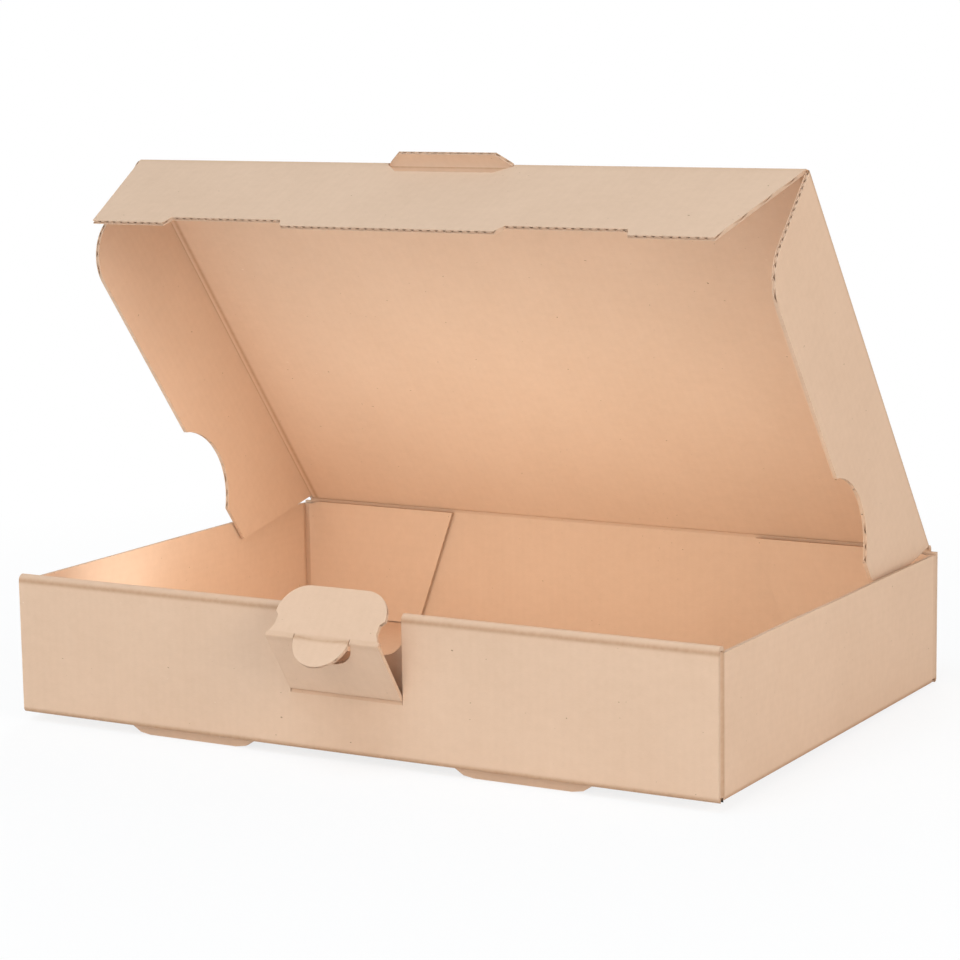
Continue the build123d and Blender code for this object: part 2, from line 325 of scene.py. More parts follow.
def sheet_mesh(name, place, faces, flat, near, *papers):
    """A mesh in metres from points and faces in millimetres. Its UV map is each point's place in the flat
    sheet, and its attribute fold says how near the point is to a crease."""
    mesh = bpy.data.meshes.new(name)
    mesh.from_pydata(place * MM, [], faces)
    mesh.uv_layers.new(name="sheet").data.foreach_set("uv", (flat[np.concatenate(faces)] * MM).ravel())
    mesh.attributes.new("fold", "FLOAT", "POINT").data.foreach_set("value", near)
    for each in papers:
        mesh.materials.append(each)
    return mesh


def laid_out(mesh):
    """The object of a finished mesh, with the mesh's name."""
    mesh.validate()
    made = bpy.data.objects.new(mesh.name, mesh)
    bpy.context.scene.collection.objects.link(made)
    return made


def folded_sheet(name, panels, node):
    """The sheet of one body from the arrays of its panels. It stands for its node and rides on its body."""
    starts = np.cumsum([0] + [len(panel[0]) for panel in panels])
    place, quads, flat, near, core = (list(part) for part in zip(*panels))
    quads = np.concatenate([q + start for q, start in zip(quads, starts)])
    place, flat, near, core = (np.concatenate(part) for part in (place, flat, near, core))
    mesh = sheet_mesh(name, place, quads, flat, near, face_paper, core_paper)
    mesh.polygons.foreach_set("material_index", core.astype(np.int32))
    mesh.polygons.foreach_set("use_smooth", ~core)
    made = laid_out(mesh)
    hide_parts(node)
    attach(made, node)


# The tray
# Bottom, back wall and front wall are one strip of the sheet, folded up at both ends. In front it goes on
# over a half-round top and down inside as the inner panel, whose two tabs stand in slots in the bottom.
FOLD = 0.9
QUARTER = FOLD * math.pi / 2
BACK = 102.4
FRONT = -BACK
LID_HINGE = 54.45
ROLL = 1.65
ROLL_HEIGHT = 52.8
INNER = FRONT + 2 * ROLL
FLOOR_TOP = 1.65
BOTTOM_MIDDLE = HALF
WALL_END = 151.2
SIDE = 150.75
SIDE_START = SIDE - FOLD
HINGE_REACH = 1.2
DUST_HINGE_REACH = 2.7
WINDOW = 24.5
LATCH_HINGE = 22.6
CUTOUT_FLOOR = 38.18
CUTOUT_ROUND = 11.6
TAB_CENTRE = 72.2
TAB_HALF = 29.0
TAB_FOOT = -3.5
TAB_SHAPE = ((0, TAB_FOOT), (20.0, TAB_FOOT), (24.5, -2.8), (TAB_HALF, 0))
SLOT_GAP = 0.15
SLOT_HALF = HALF + SLOT_GAP
INNER_GAP = 0.3
FRONT_BOW = 0.25
CREASE_SPREAD = 1.3
# Steps of the grid: on a plain stretch, beside a bend and how far that goes on, in a bend and over the top
CELL = 5.0
CLOSE_STEP = 0.5
BESIDE = 2.0
BEND_STEP = 0.25
ROLL_STEP = 0.35
# Two lines of a grid this close together make a step in an outline, and points this close are one
EDGE = 0.005
# The inner panel's cuts lower than this over the bottom are never seen
UNSEEN = 1.0

strip_runs = [
    (LID_HINGE - BOTTOM_MIDDLE - FOLD, 0),
    (QUARTER, -90),
    (2 * (BACK - FOLD), 0),
    (QUARTER, -90),
    (ROLL_HEIGHT - BOTTOM_MIDDLE - FOLD, 0),
    (ROLL * math.pi, -180),
    (2 * ROLL_HEIGHT, 0),
]
strip_stops = np.cumsum([0] + [length for length, turn in strip_runs])
back_foot, back_floor, front_floor, front_foot, roll_start, roll_end = strip_stops[1:7]
latch_line = roll_start - (ROLL_HEIGHT - LATCH_HINGE)
slot_line = back_floor + (BACK - FOLD) - INNER


def graded(first, *stretches):
    """Values from the first stop on. Each stretch is its step, which is kept to or a little less, and its
    last stop."""
    runs = []
    for step, stop in stretches:
        count = max(math.ceil(abs(stop - first) / step), 1)
        runs.append(np.linspace(first, stop, count, endpoint=False))
        first = stop
    return np.concatenate([*runs, [first]])


def stations(step, *stops):
    """Values from the first stop to the last, with every stop among them, a step or a little less apart."""
    return graded(stops[0], *((step, stop) for stop in stops[1:]))


def bent(s, z, start, heading, runs):
    """The point s along a bent line and z to its left. Each run of the line is its length and its turn in
    degrees. A straight run adds t times the heading's cosine and sine. A bend of k radians a millimetre adds
    the change of the heading's sine, and of minus its cosine, over k."""
    first, second = np.full_like(s, start[0]), np.full_like(s, start[1])
    angle = math.radians(heading)
    turned = np.full_like(s, angle)
    done = 0.0
    for length, turn in runs:
        t = np.clip(s - done, 0, length)
        if turn:
            k = math.radians(turn) / length
            first = first + (np.sin(angle + k * t) - math.sin(angle)) / k
            second = second - (np.cos(angle + k * t) - math.cos(angle)) / k
            turned = turned + k * t
        else:
            first = first + t * math.cos(angle)
            second = second + t * math.sin(angle)
        angle += math.radians(turn)
        done += length
    return first - z * np.sin(turned), second + z * np.cos(turned)


def near_lines(value, *lines):
    """One on a crease and falling off within a millimetre or two of it, as a bell curve."""
    return np.max([np.exp(-(((value - line) / CREASE_SPREAD) ** 2)) for line in lines], axis=0)


def strip_fold(x, s, z):
    """From the lid's crease down the back, forward along the bottom, up the front, over and down inside. The
    front wall's outer panel is bowed inward, as half a sine wave up it and one each side of the middle."""
    up = (s - front_foot) / (roll_start - front_foot)
    bow = FRONT_BOW * np.sin(np.pi * x / WALL_END) * np.sin(np.pi * up)
    z = z - np.where((s > front_foot) & (s < roll_start), np.abs(bow), 0)
    y, height = bent(s, z, (BACK, LID_HINGE), -90, strip_runs)
    return x, y, height


def strip_crease(x, s):
    """The strip's creases: at the feet of both walls and on each side of the roll-over top."""
    return near_lines(s, (back_foot + back_floor) / 2, (front_floor + front_foot) / 2, roll_start, roll_end)


def in_strip(x, s):
    """The bottom is narrower than the walls, has two slots, and the front wall has the latch's window."""
    wide = (s < back_floor) | (s > front_floor) | (np.abs(x) < SIDE_START)
    window = (np.abs(x) < WINDOW) & (s > latch_line - HINGE_REACH)
    slot = (np.abs(np.abs(x) - TAB_CENTRE) < TAB_HALF + SLOT_GAP) & (np.abs(s - slot_line) < SLOT_HALF)
    return wide & ~window & ~slot


def strip_joined(x, s):
    """Where the bottom goes on into the side walls, and the roll-over into the inner panel."""
    beside = (np.abs(np.abs(x) - SIDE_START) < EDGE) & (s > back_floor) & (s < front_floor)
    return beside | (np.abs(s - roll_end) < EDGE)


def inner_outline(x, share):
    """The inner panel, from the roll-over or the cut-out's edge down to its lower edge and tabs. The corners
    of the cut-out are quarter circles, and a tab's lower edge runs through the points of its shape."""
    into_corner = np.clip(np.abs(x) - (WINDOW - CUTOUT_ROUND), 0, CUTOUT_ROUND)
    rise = CUTOUT_ROUND - np.sqrt(np.maximum(CUTOUT_ROUND**2 - into_corner**2, 0))
    top = np.where(np.abs(x) < WINDOW, CUTOUT_FLOOR + rise, ROLL_HEIGHT)
    from_tab = np.abs(np.abs(x) - TAB_CENTRE)
    tab_edge = np.interp(from_tab, *zip(*TAB_SHAPE))
    low = np.where(from_tab <= TAB_HALF, tab_edge, FLOOR_TOP)
    return x, roll_end + (ROLL_HEIGHT - (top + (low - top) * share))


def inner_joined(x, s):
    """The inner panel's upper edge beside the window hangs from the roll-over."""
    return (np.abs(s - roll_end) < EDGE) & (np.abs(x) > WINDOW)


slot_edges = (TAB_CENTRE - TAB_HALF - SLOT_GAP, TAB_CENTRE + TAB_HALF + SLOT_GAP)
right_lines = stations(CELL, WINDOW, *slot_edges, SIDE_START, WALL_END)
strip_across = np.concatenate([-right_lines[::-1], stations(CELL, -WINDOW, WINDOW)[1:-1], right_lines])
strip_along = graded(
    HINGE_REACH,
    (CELL, back_foot - BESIDE),
    (CLOSE_STEP, back_foot),
    (BEND_STEP, back_floor),
    (CLOSE_STEP, back_floor + BESIDE),
    (CELL, slot_line - SLOT_HALF),
    (CELL, slot_line + SLOT_HALF),
    (CLOSE_STEP, front_floor),
    (BEND_STEP, front_foot),
    (CLOSE_STEP, front_foot + BESIDE),
    (CELL, latch_line - HINGE_REACH),
    (CELL, roll_start - BESIDE),
    (CLOSE_STEP, roll_start),
    (ROLL_STEP, roll_end),
)

corner_turn = np.linspace(0, np.pi / 2, 15)
cutout_side = WINDOW - CUTOUT_ROUND + CUTOUT_ROUND * np.sin(corner_turn)
tab_reaches = np.array([reach for reach, height in TAB_SHAPE[1:]])
tab_lines = TAB_CENTRE + np.concatenate([-tab_reaches[::-1], tab_reaches])
inner_right = np.concatenate(
    [
        [0, (WINDOW - CUTOUT_ROUND) / 2],
        cutout_side,
        [WINDOW + EDGE],
        stations(CELL, tab_lines[0] - EDGE, *tab_lines),
        stations(CELL, tab_lines[-1] + EDGE, SIDE - HALF - INNER_GAP),
    ]
)
inner_across = np.concatenate([-inner_right[:0:-1], inner_right])

tray_panels = [
    board(strip_across, strip_along, strip_fold, keep=in_strip, joined=strip_joined, creased=strip_crease),
    board(
        inner_across,
        np.linspace(0, 1, 12),
        strip_fold,
        outline=inner_outline,
        joined=inner_joined,
        creased=strip_crease,
        hidden=lambda x, s: s > roll_end + ROLL_HEIGHT - FLOOR_TOP - UNSEEN,
    ),
]


# The side walls and front dust flaps
# Each side wall folds up from the bottom's edge. Its front end turns in as a dust flap, which stands between
# the layers of the front wall and holds the corner. The flutes run level here.
WALL_TOP = 52.6
DUST_TOP = 53.1
FRONT_DUST = FRONT + ROLL
WALL_FRONT = FRONT_DUST + FOLD
REAR_DUST_AXIS = 100.55
DUST_LONG = 78.0
DUST_SHORT = 59.5
SIDE_BOW = 0.3

wall_rise = QUARTER + WALL_TOP - BOTTOM_MIDDLE - FOLD
dust_line = QUARTER + DUST_TOP - FLOOR_TOP


def shares(near, close_cells, cells):
    """Shares from nought to one, closer together up to near, which lies beside a crease."""
    return np.concatenate([np.linspace(0, near, close_cells + 1)[:-1], np.linspace(near, 1, cells + 1)])


def side_fold(side):
    """The fold of one side wall: up from the bottom, and round the front corner into the dust flap."""

    def fold(a, y, z):
        """Flat a is how far up from the bottom's edge, and flat y is the box's own y. The wall is bowed
        inward, most at its top edge, as a half wave from its middle to each end."""
        bow = SIDE_BOW * np.sin(np.pi * np.clip(y / WALL_FRONT, -1, 1)) * np.clip(a / wall_rise, 0, 1)
        z = z - np.abs(bow)
        x, height = bent(a, -z, (SIDE_START, BOTTOM_MIDDLE), 0, [(QUARTER, 90), (2 * WALL_TOP, 0)])
        beyond = WALL_FRONT - y
        flap_x, flap_y = bent(beyond, z, (SIDE, WALL_FRONT), -90, [(QUARTER, -90), (2 * DUST_LONG, 0)])
        turned = beyond > 0
        return side * np.where(turned, flap_x, x), np.where(turned, flap_y, y), height

    return fold


def dust_outline(a, share):
    """A front dust flap: its end slants from the long upper edge to the short lower one."""
    up = np.clip((a - QUARTER) / (DUST_TOP - FLOOR_TOP), 0, 1)
    length = DUST_SHORT + (DUST_LONG - DUST_SHORT) * up - FOLD + QUARTER
    return a, WALL_FRONT - share * length


wall_across = graded(0, (BEND_STEP, QUARTER), (CLOSE_STEP, QUARTER + BESIDE), (CELL, wall_rise))
wall_along = graded(
    WALL_FRONT,
    (CLOSE_STEP, WALL_FRONT + BESIDE),
    (CELL, REAR_DUST_AXIS - DUST_HINGE_REACH),
)
for side in (-1, 1):
    tray_panels.append(
        board(
            wall_across,
            wall_along,
            side_fold(side),
            joined=lambda a, y: (a < EDGE) | ((y < WALL_FRONT + EDGE) & (a > QUARTER)),
            creased=lambda a, y: np.maximum(near_lines(a, QUARTER / 2), near_lines(y, WALL_FRONT)),
        )
    )
    tray_panels.append(
        board(
            stations(CELL, QUARTER, wall_rise, dust_line),
            shares(0.03, 7, 11),
            side_fold(side),
            outline=dust_outline,
            joined=lambda a, y: y > WALL_FRONT - EDGE,
            creased=lambda a, y: near_lines(y, WALL_FRONT),
        )
    )

folded_sheet("tray_sheet", tray_panels, "tray")


# The lid
# The lid panel folds over from the back wall. A flap folds down along each side, its free edge rounded in
# front and notched behind for a finger, and a short lip stays in the lid's plane over the latch.
LID_OPENING = math.radians(52.3)
LID_LENGTH = 199.5
LID_SIDE = 147.75
LID_BOW = 0.7
LID_FLAP_START = LID_SIDE - FOLD
LID_FLAP_DEPTH = 50.0
LID_REAR_START = 2.4
LID_REAR_END = 26.8
LID_FRONT_END = 6.1
LID_ROUND = 17.0
FINGER_CENTRE = 69.3
FINGER_REACH = 23.4
FINGER_DEPTH = 10.8
# A second crushed line lies beside each side crease
SECOND_LINE_INSET = 3.2
LID_SECOND_LINE = LID_SIDE - SECOND_LINE_INSET
LIP_HALF = 27.4
LIP_SHOULDER = 0.9
LIP_REACH = 6.3
LIP_END_HALF = 21.5
LIP_SHAPE = ((0, LIP_HALF), (LIP_SHOULDER, LIP_HALF), (LIP_REACH, LIP_END_HALF))
# Steps of the grid along a side flap, and where those of its rounded corner begin and then close up
SLANT_STEP = 1.0
STRAIGHT_STEP = 4.0
FINGER_STEP = 1.2
CORNER_START = 172.0
CORNER_STEP = 0.8
CORNER_STEEP = 188.0
STEEP_STEP = 0.3
# How far beside the creases the panel's grid is closer, its step there, and the step round them
MARGIN = 6.0
MARGIN_STEP = 0.6
ROUND_STEP = 0.2

lid_ahead = np.array([0, -math.cos(LID_OPENING), math.sin(LID_OPENING)])
lid_inward = np.array([0, -math.sin(LID_OPENING), -math.cos(LID_OPENING)])
lid_hinge = np.array([0, BACK, LID_HINGE])


def placed(origin, ahead, inward):
    """A fold that lays a flat panel at origin, its y along ahead, and its outer face turned from inward."""

    def fold(x, y, z):
        place = origin[:, None] + ahead[:, None] * y - inward[:, None] * z
        return x + place[0], place[1], place[2]

    return fold


def lid_fold(side):
    """The lid's side flap: straight on from the panel, round its crease, and down square to the panel."""

    def fold(a, u, z):
        x, depth = bent(a, z, (LID_FLAP_START, 0), 0, [(QUARTER, -90), (2 * LID_FLAP_DEPTH, 0)])
        flat = placed(lid_hinge, lid_ahead, lid_inward)
        return flat(side * x, u, depth)

    return fold


def lid_bow(x, u, z):
    """The lid panel sags a little inward in the middle, as a half wave each way."""
    sag = LID_BOW * np.cos(np.pi * x / (2 * LID_SIDE)) * np.sin(np.pi * u / LID_LENGTH)
    return placed(lid_hinge, lid_ahead, lid_inward)(x, u, z - sag)


def in_lid(x, u):
    """Past the front flap's crease only the lip goes on."""
    return (u < LID_LENGTH - HINGE_REACH) | (np.abs(x) < LIP_HALF)


def lid_joined(x, u):
    """Where the panel goes on into its side flaps and into the lip."""
    beside = (np.abs(x) > LID_FLAP_START - EDGE) & (u > LID_REAR_START)
    return beside | (u > LID_LENGTH - EDGE) & (np.abs(x) < LIP_HALF)


def lid_crease(x, u):
    """The lid panel's creases: at its sides, at the back wall and at the front flap."""
    return np.maximum(near_lines(np.abs(x), LID_SIDE, LID_SECOND_LINE), near_lines(u, 0, LID_LENGTH))


def side_flap_depth(u):
    """How deep a side flap is at u along the lid: its slanted rear edge, the finger notch as an arc of a
    circle, the straight free edge, the rounded corner as an arc, and the slanted front edge."""
    rear_slope = (LID_FLAP_DEPTH - HALF) / (LID_REAR_END - LID_REAR_START)
    rear = HALF + (u - LID_REAR_START) * rear_slope
    radius = (FINGER_REACH**2 + FINGER_DEPTH**2) / (2 * FINGER_DEPTH)
    into = np.sqrt(np.maximum(radius**2 - (u - FINGER_CENTRE) ** 2, 0)) - (radius - FINGER_DEPTH)
    front_slope = (LID_FLAP_DEPTH - BOARD) / LID_FRONT_END
    front = BOARD + (LID_LENGTH - u) * front_slope
    # The corner's centre lies a radius in from the free edge and a radius in from the slanted front edge
    slant = math.hypot(1, front_slope) / front_slope
    middle_v = LID_FLAP_DEPTH - LID_ROUND
    middle_u = LID_LENGTH - (middle_v - BOARD) / front_slope - LID_ROUND * slant
    arc = middle_v + np.sqrt(np.maximum(LID_ROUND**2 - np.clip(u - middle_u, 0, LID_ROUND) ** 2, 0))
    touch = middle_u + LID_ROUND / slant
    corner = np.where(u < touch, arc, front)
    depths = np.minimum(np.minimum(rear, LID_FLAP_DEPTH - np.clip(into, 0, FINGER_DEPTH)), LID_FLAP_DEPTH)
    return np.where(u > middle_u, np.minimum(depths, corner), depths)


def flap_outline(a, u):
    """A side flap's flat shape: beyond the crease's bend, a is a share of the depth at u."""
    share = np.clip(a - QUARTER, 0, 1)
    return np.minimum(a, QUARTER) + share * (side_flap_depth(u) - FOLD), u


lid_along = stations(CELL, HINGE_REACH, LID_REAR_START, LID_LENGTH - MARGIN, LID_LENGTH - HINGE_REACH)
lid_right = graded(LIP_HALF, (CELL, LID_FLAP_START - MARGIN), (MARGIN_STEP, LID_FLAP_START))
lid_across = np.concatenate([-lid_right[::-1], stations(CELL, -LIP_HALF, LIP_HALF)[1:-1], lid_right])
flap_along = graded(
    LID_REAR_START,
    (SLANT_STEP, LID_REAR_END),
    (STRAIGHT_STEP, FINGER_CENTRE - FINGER_REACH),
    (FINGER_STEP, FINGER_CENTRE + FINGER_REACH),
    (CELL, CORNER_START),
    (CORNER_STEP, CORNER_STEEP),
    (STEEP_STEP, LID_LENGTH),
)
# Shares of a side flap's depth, closer together beside its crease
depth_shares = np.r_[0.01, 0.025, 0.045, np.linspace(0.08, 1, 13)]
flap_deep = np.concatenate([stations(ROUND_STEP, 0, QUARTER), QUARTER + depth_shares])
lip_y, lip_half = zip(*LIP_SHAPE)
lid_panels = [
    board(
        lid_across,
        np.concatenate([lid_along, [LID_LENGTH]]),
        lid_bow,
        keep=in_lid,
        joined=lid_joined,
        creased=lid_crease,
    ),
    board(
        np.linspace(-1, 1, 15),
        np.linspace(0, LIP_REACH, 6),
        placed(lid_hinge + lid_ahead * LID_LENGTH, lid_ahead, lid_inward),
        outline=lambda share, y: (share * np.interp(y, lip_y, lip_half), y),
        joined=lambda x, y: y < EDGE,
    ),
]
for side in (-1, 1):
    lid_panels.append(
        board(
            flap_deep,
            flap_along,
            lid_fold(side),
            outline=flap_outline,
            joined=lambda a, u: a < EDGE,
            creased=lambda a, u: near_lines(a, QUARTER / 2),
        )
    )

folded_sheet("lid_sheet", lid_panels, "lid")


# The lid's front flap
# It folds down from the lid's front edge, tapers to both ends, and has two shallow notches in its free edge.
# The lip was cut out of it, so a hole of the lip's shape is left at the crease.
FLAP_FOLD = math.radians(75.1)
FLAP_HALF = 146.9
FLAP_END_HALF = 134.2
FLAP_LENGTH = 54.0
NOTCH_DEPTH = 4.5
NOTCH_SHAPE = ((46.2, 0), (48.4, NOTCH_DEPTH), (98.2, NOTCH_DEPTH), (100.4, 0))
LIP_GAP = 0.45

flap_origin = lid_hinge + lid_ahead * LID_LENGTH
flap_ahead = lid_ahead * math.cos(FLAP_FOLD) + lid_inward * math.sin(FLAP_FOLD)
flap_inward = lid_inward * math.cos(FLAP_FOLD) - lid_ahead * math.sin(FLAP_FOLD)
taper = FLAP_END_HALF / FLAP_HALF
notch_x = [x / taper for x, depth in NOTCH_SHAPE]
notch_depth = [depth for x, depth in NOTCH_SHAPE]
hole_half = LIP_HALF + LIP_GAP
hole_x = [0, LIP_END_HALF + LIP_GAP, hole_half]
hole_y = [LIP_REACH + LIP_GAP, LIP_REACH + LIP_GAP, LIP_SHOULDER]


def front_flap_outline(x, share):
    """From the crease or the lip's hole to the free edge, less its notches. The width narrows evenly."""
    start = np.where(np.abs(x) < hole_half, np.interp(np.abs(x), hole_x, hole_y), HINGE_REACH)
    end = FLAP_LENGTH - np.interp(np.abs(x), notch_x, notch_depth, left=0, right=0)
    y = start + (end - start) * share
    return x * (1 + (taper - 1) * y / FLAP_LENGTH), y


flap_right = stations(CELL, *hole_x, hole_half + EDGE, *notch_x, FLAP_HALF)
front_flap = board(
    np.concatenate([-flap_right[:0:-1], flap_right]),
    np.linspace(0, 1, 13),
    placed(flap_origin, flap_ahead, flap_inward),
    outline=front_flap_outline,
    creased=lambda x, y: near_lines(y, 0),
    hidden=lambda x, y: (y < HINGE_REACH + FLUTE_DEPTH) & (np.abs(x) > hole_half),
)

folded_sheet("lid_front_flap_sheet", [front_flap], "lid_front_flap")


# The latch
# An arm as wide as the window, hinged on the front wall, and a tip folded back from it, with a neck and ears
# that hold behind the lid's front flap. The thumb tongue was cut out of the arm and belongs to the tip.
ARM_LEAN = math.radians(34)
ARM_LENGTH = 28.5
ARM_HALF = 24.2
ARM_STEP = 4.0
TIP_FOLD = math.radians(74)
TIP_LENGTH = 21.5
TIP_ROUND = 11.6
TIP_STEP = 1.0
NECK_HALF = 21.9
TIP_SHAPE = ((0, ARM_HALF), (4.5, NECK_HALF), (8.2, NECK_HALF), (9.9, 23.5))
THUMB_RADIUS = 11.8
THUMB_SHIFT = 0.6
THUMB_GAP = 0.3

latch_hinge = np.array([0, FRONT, LATCH_HINGE])
arm_ahead = np.array([0, -math.sin(ARM_LEAN), math.cos(ARM_LEAN)])
arm_inward = np.array([0, math.cos(ARM_LEAN), math.sin(ARM_LEAN)])
tip_hinge = latch_hinge + arm_ahead * ARM_LENGTH
tip_ahead = arm_ahead * math.cos(TIP_FOLD) + arm_inward * math.sin(TIP_FOLD)
tip_inward = arm_inward * math.cos(TIP_FOLD) - arm_ahead * math.sin(TIP_FOLD)
opening_radius = THUMB_RADIUS + THUMB_GAP
opening_half = math.sqrt(opening_radius**2 - THUMB_SHIFT**2)
tongue_half = math.sqrt(THUMB_RADIUS**2 - THUMB_SHIFT**2)


def arm_outline(x, share):
    """The arm from crease to crease, less the round opening that the thumb tongue left."""
    round_edge = ARM_LENGTH + THUMB_SHIFT - np.sqrt(np.maximum(opening_radius**2 - x**2, 0))
    end = np.where(np.abs(x) < opening_half, round_edge, ARM_LENGTH - HINGE_REACH)
    return x, HINGE_REACH + (end - HINGE_REACH) * share


round_right = opening_half * np.sin(np.linspace(0, np.pi / 2, 22))
arm_right = np.concatenate([round_right, stations(ARM_STEP, opening_half + EDGE, ARM_HALF)])
arm_panel = board(
    np.concatenate([-arm_right[:0:-1], arm_right]),
    np.linspace(0, 1, 12),
    placed(latch_hinge, arm_ahead, arm_inward),
    outline=arm_outline,
    creased=lambda x, y: near_lines(y, 0, ARM_LENGTH),
    hidden=lambda x, y: (y < HINGE_REACH + EDGE) | (np.abs(x) > opening_half),
)

folded_sheet("latch_arm_sheet", [arm_panel], "latch_arm")


def tip_outline(share, y):
    """The tip's half width at y: the neck and ears through the points of its shape, then a quarter circle."""
    half = np.interp(y, *zip(*TIP_SHAPE))
    into = np.clip(y - (TIP_LENGTH - TIP_ROUND), 0, TIP_ROUND)
    return share * (half - TIP_ROUND + np.sqrt(TIP_ROUND**2 - into**2)), y


def tongue_outline(x, share):
    """The thumb tongue, from its round edge up to the tip."""
    start = THUMB_SHIFT - np.sqrt(np.maximum(THUMB_RADIUS**2 - x**2, 0))
    return x, start + (HINGE_REACH - start) * share


tip_fold = placed(tip_hinge, tip_ahead, tip_inward)
neck_lines = stations(TIP_STEP, HINGE_REACH, *(y for y, half in TIP_SHAPE[1:]))
round_lines = TIP_LENGTH - TIP_ROUND + TIP_ROUND * np.sin(np.linspace(0, np.pi / 2, 20))
tip_panels = [
    board(
        np.linspace(-1, 1, 25),
        np.concatenate([neck_lines[:-1], round_lines]),
        tip_fold,
        outline=tip_outline,
        joined=lambda x, y: (y < HINGE_REACH + EDGE) & (np.abs(x) < tongue_half),
        creased=lambda x, y: near_lines(y, 0),
        hidden=lambda x, y: y < HINGE_REACH + FLUTE_DEPTH,
    ),
    board(
        tongue_half * np.sin(np.linspace(-np.pi / 2, np.pi / 2, 43)),
        np.linspace(0, 1, 8),
        tip_fold,
        outline=tongue_outline,
        joined=lambda x, y: y > HINGE_REACH - EDGE,
        creased=lambda x, y: near_lines(y, 0),
    ),
]

folded_sheet("latch_tip_sheet", tip_panels, "latch_tip")


# The rear dust flaps
# They fold in from the rear ends of the side walls and stand just inside the back wall, sprung a little off
# it. The free end is cut back on a slant, from the long upper edge to the short lower one.
DUST_REST = math.radians(0.4)
DUST_GAP = 0.3
DUST_BOTTOM = FLOOR_TOP + DUST_GAP
DUST_CREASE_TOP = WALL_TOP - DUST_GAP
DUST_REAR_TOP = 53.4
CLIMB_END = 8.0
DUST_MIDDLE = (DUST_BOTTOM + DUST_CREASE_TOP) / 2
DUST_HALF = (DUST_CREASE_TOP - DUST_BOTTOM) / 2
DUST_REAR_HIGH = DUST_REAR_TOP - DUST_MIDDLE


def rear_fold(side):
    """The fold that stands a flat dust flap at its crease. Flat a is the height above the flap's middle, and
    flat y is how far from the crease."""

    def fold(a, y, z):
        x = SIDE - y * math.cos(DUST_REST) + z * math.sin(DUST_REST)
        depth = REAR_DUST_AXIS - y * math.sin(DUST_REST) + z * math.cos(DUST_REST)
        return side * x, depth, DUST_MIDDLE + a

    return fold


def rear_outline(a, share):
    """From the crease to the slanted end. The upper edge climbs to the back wall's height near the crease."""
    upper = a > DUST_HALF - EDGE
    level = np.where(upper, DUST_REAR_HIGH, a)
    length = np.interp(level, [-DUST_HALF, DUST_REAR_HIGH], [DUST_SHORT, DUST_LONG])
    y = DUST_HINGE_REACH + (length - DUST_HINGE_REACH) * share
    climb = np.interp(y, [CLIMB_END / 2, CLIMB_END], [DUST_HALF, DUST_REAR_HIGH])
    return np.where(upper, climb, a), y


for side, name in ((-1, "dust_flap_left"), (1, "dust_flap_right")):
    rear_flap = board(
        stations(CELL, -DUST_HALF, DUST_HALF),
        shares(0.08, 5, 13),
        rear_fold(side),
        outline=rear_outline,
        creased=lambda a, y: near_lines(y, 0),
        hidden=lambda a, y: y < DUST_HINGE_REACH + EDGE,
    )
    folded_sheet(f"{name}_sheet", [rear_flap], name)


# The creases between the moving parts
# Between two panels the board is crushed along a line. The outer face goes round the crease as an arc and the
# inner face is pressed in as a valley.
VALLEY = 0.12
ARC_STEPS = 9
CREASE_STEP = 1.5
# How near a crease the crushed board counts, which sets its painted crease shade and its wrinkle bumps
CREASE_SHADE_AND_WRINKLE = 0.45
LEAST_APART = 0.1
ALONG_X = np.array([1.0, 0, 0])
UP = np.array([0, 0, 1.0])
FORWARD = np.array([0, -1.0, 0])


def crease(name, spans, origin, axes, fold_angle, reach):
    """The crushed board of one crease over stretches of its line. The axes point along the line, ahead in the
    parent and inward. The section follows the parent's outer face, an arc of half a board about the line, the
    child's outer face, and back along both inner faces through the valley."""
    along, ahead, inward = axes
    c, s = math.cos(fold_angle), math.sin(fold_angle)
    turn = np.linspace(-math.pi / 2, -math.pi / 2 + fold_angle, ARC_STEPS)
    middle = np.array([-math.sin(fold_angle / 2), math.cos(fold_angle / 2)])
    section = np.concatenate(
        [
            [(-reach, -HALF)],
            HALF * np.column_stack([np.cos(turn), np.sin(turn)]),
            [(reach * c + HALF * s, reach * s - HALF * c)],
            [(reach * c - HALF * s, reach * s + HALF * c)],
            [middle * VALLEY],
            [(-reach, HALF)],
        ]
    )
    girth = np.cumsum(np.r_[0, np.linalg.norm(np.diff(section, axis=0), axis=1)])
    handed = np.dot(np.cross(along, ahead), inward) > 0
    place, flat, faces, start = [], [], [], 0
    for low, high in spans:
        a, k = np.meshgrid(stations(CREASE_STEP, low, high), np.arange(len(section)), indexing="ij")
        y, z = section[k][..., :1], section[k][..., 1:]
        place.append((origin + a[..., None] * along + y * ahead + z * inward).reshape(-1, 3))
        flat.append(np.column_stack([a.ravel(), girth[k.ravel()]]))
        number = start + np.arange(a.size).reshape(a.shape)
        after = np.roll(number, -1, axis=1)
        around = np.stack([number[:-1], number[1:], after[1:], after[:-1]], -1).reshape(-1, 4)
        closed = [*around.tolist(), number[0][::-1].tolist(), number[-1].tolist()]
        faces += [face if handed else face[::-1] for face in closed]
        start += a.size
    place, flat = np.concatenate(place), np.concatenate(flat)
    made = laid_out(sheet_mesh(name, place, faces, flat, np.full(len(place), CREASE_SHADE_AND_WRINKLE), face_paper))
    # A point on the parent's side and one on the child's, along the line between them, are worked out and
    # left unused
    heading = ahead * math.cos(fold_angle / 2) + inward * math.sin(fold_angle / 2)
    apart = max(reach * math.cos(fold_angle / 2) - HALF * math.sin(fold_angle / 2), LEAST_APART) * heading
    tuple((origin - apart) * MM)
    tuple((origin + apart) * MM)
    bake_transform(made)


